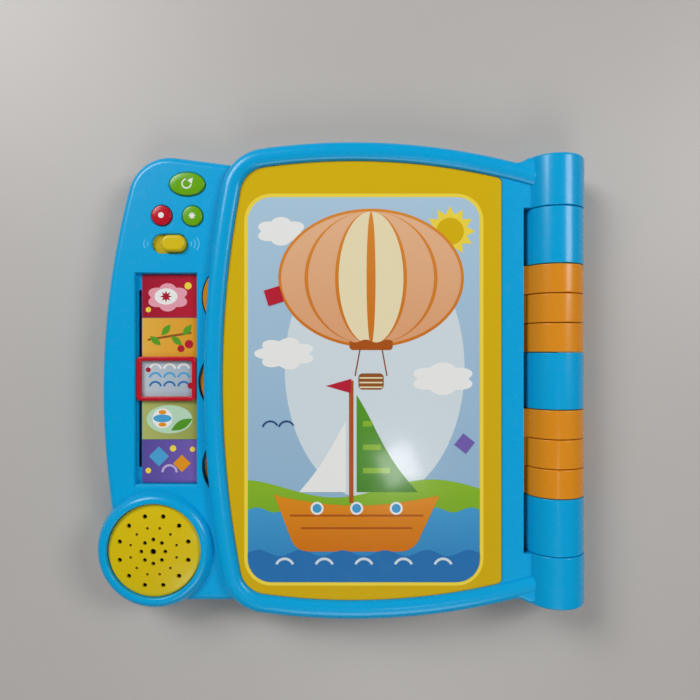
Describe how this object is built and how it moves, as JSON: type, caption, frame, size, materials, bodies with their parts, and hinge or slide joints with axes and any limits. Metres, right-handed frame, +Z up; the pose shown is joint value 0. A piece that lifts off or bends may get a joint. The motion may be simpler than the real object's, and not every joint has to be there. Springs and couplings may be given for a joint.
{
  "type": "activity book",
  "caption": "Toy talking activity book: moulded base with a control panel and speaker, a cover and stiff leaves that turn on one hinge barrel.",
  "frame": {"origin": "bottom centre of the closed book's bounding box, on the plane the feet stand on", "axes": "+X towards the hinge barrel, +Y towards the head edge, +Z up"},
  "size_m": [0.2746, 0.2656, 0.0346],
  "materials": {
    "blue_plastic": "moulded, semi-gloss",
    "orange_plastic": "moulded, semi-gloss",
    "yellow_plastic": "moulded, semi-gloss",
    "green_plastic": "moulded, semi-gloss",
    "red_plastic": "moulded, semi-gloss",
    "printed_card": "printed card under clear laminate",
    "touch_film": "satin film",
    "silicone": "matt",
    "circuit_board": "solder mask",
    "dark_plastic": "matt",
    "cell_sleeve": "satin sleeve",
    "steel": "plated",
    "foot_rubber": "matt"
  },
  "bodies": {
    "base": {"base_lower_shell": "blue_plastic", "base_upper_shell": "blue_plastic", "battery_door": "blue_plastic", "speaker_grille": "yellow_plastic", "mode_strip_card": "printed_card", "bed_card": "printed_card", "touch_sheet": "touch_film", "button_dome_pad": "silicone", "main_circuit_board": "circuit_board", "volume_switch_body": "dark_plastic", "speaker_driver": "dark_plastic", "battery_cell_1": "cell_sleeve", "battery_cell_2": "cell_sleeve", "battery_cell_3": "cell_sleeve", "hinge_rod": "steel", "battery_door_screw": "steel", "circuit_board_screw_1": "steel", "circuit_board_screw_2": "steel", "battery_spring_1": "steel", "battery_contact_1": "steel", "battery_spring_2": "steel", "battery_contact_2": "steel", "battery_spring_3": "steel", "battery_contact_3": "steel", "shell_screw_1": "steel", "shell_screw_2": "steel", "shell_screw_3": "steel", "shell_screw_4": "steel", "shell_screw_5": "steel", "shell_screw_6": "steel", "foot_1": "foot_rubber", "foot_2": "foot_rubber", "foot_3": "foot_rubber", "foot_4": "foot_rubber"},
    "cover": {"cover_outer_shell": "blue_plastic", "cover_art_panel": "printed_card", "cover_inner_liner": "blue_plastic", "cover_inner_card": "printed_card", "hinge_end_plug_1": "blue_plastic", "hinge_end_plug_2": "blue_plastic", "cover_screw_1": "steel", "cover_screw_2": "steel", "cover_screw_3": "steel", "cover_screw_4": "steel"},
    "leaf_1": {"leaf_frame_1": "orange_plastic", "leaf_upper_card_1": "printed_card", "leaf_lower_card_1": "printed_card"},
    "leaf_2": {"leaf_frame_2": "orange_plastic", "leaf_upper_card_2": "printed_card", "leaf_lower_card_2": "printed_card"},
    "leaf_3": {"leaf_frame_3": "orange_plastic", "leaf_upper_card_3": "printed_card", "leaf_lower_card_3": "printed_card"},
    "repeat": {"repeat_button": "green_plastic"},
    "off": {"off_button": "red_plastic"},
    "on": {"on_button": "green_plastic"},
    "volume": {"volume_knob": "yellow_plastic"},
    "mode": {"mode_selector": "red_plastic"}
  },
  "joints": [
    {"name": "cover_hinge", "type": "hinge", "parent": "base", "child": "cover", "pos_m": [0.1207, 0, 0.018], "axis": [0, 1, 0], "range_deg": [0, 180]},
    {"name": "leaf_1_hinge", "type": "hinge", "parent": "base", "child": "leaf_1", "pos_m": [0.1207, 0, 0.018], "axis": [0, 1, 0], "range_deg": [0, 180]},
    {"name": "leaf_2_hinge", "type": "hinge", "parent": "base", "child": "leaf_2", "pos_m": [0.1207, 0, 0.018], "axis": [0, 1, 0], "range_deg": [0, 180]},
    {"name": "leaf_3_hinge", "type": "hinge", "parent": "base", "child": "leaf_3", "pos_m": [0.1207, 0, 0.018], "axis": [0, 1, 0], "range_deg": [0, 180]},
    {"name": "repeat_press", "type": "slide", "parent": "base", "child": "repeat", "axis": [0, 0, -1], "range_m": [0, 0.0015], "stiffness_N_per_m": 600, "springref_m": -0.0005},
    {"name": "off_press", "type": "slide", "parent": "base", "child": "off", "axis": [0, 0, -1], "range_m": [0, 0.0015], "stiffness_N_per_m": 600, "springref_m": -0.0005},
    {"name": "on_press", "type": "slide", "parent": "base", "child": "on", "axis": [0, 0, -1], "range_m": [0, 0.0015], "stiffness_N_per_m": 600, "springref_m": -0.0005},
    {"name": "volume_slide", "type": "slide", "parent": "base", "child": "volume", "axis": [-1, 0, 0], "range_m": [0, 0.005]},
    {"name": "mode_slide", "type": "slide", "parent": "base", "child": "mode", "axis": [0, 1, 0], "range_m": [-0.046, 0.046]}
  ],
  "couplings": [
    {"joint": "leaf_1_hinge", "follows": "cover_hinge", "ratio": 0.975},
    {"joint": "leaf_2_hinge", "follows": "cover_hinge", "ratio": 0.95},
    {"joint": "leaf_3_hinge", "follows": "cover_hinge", "ratio": 0.925}
  ]
}
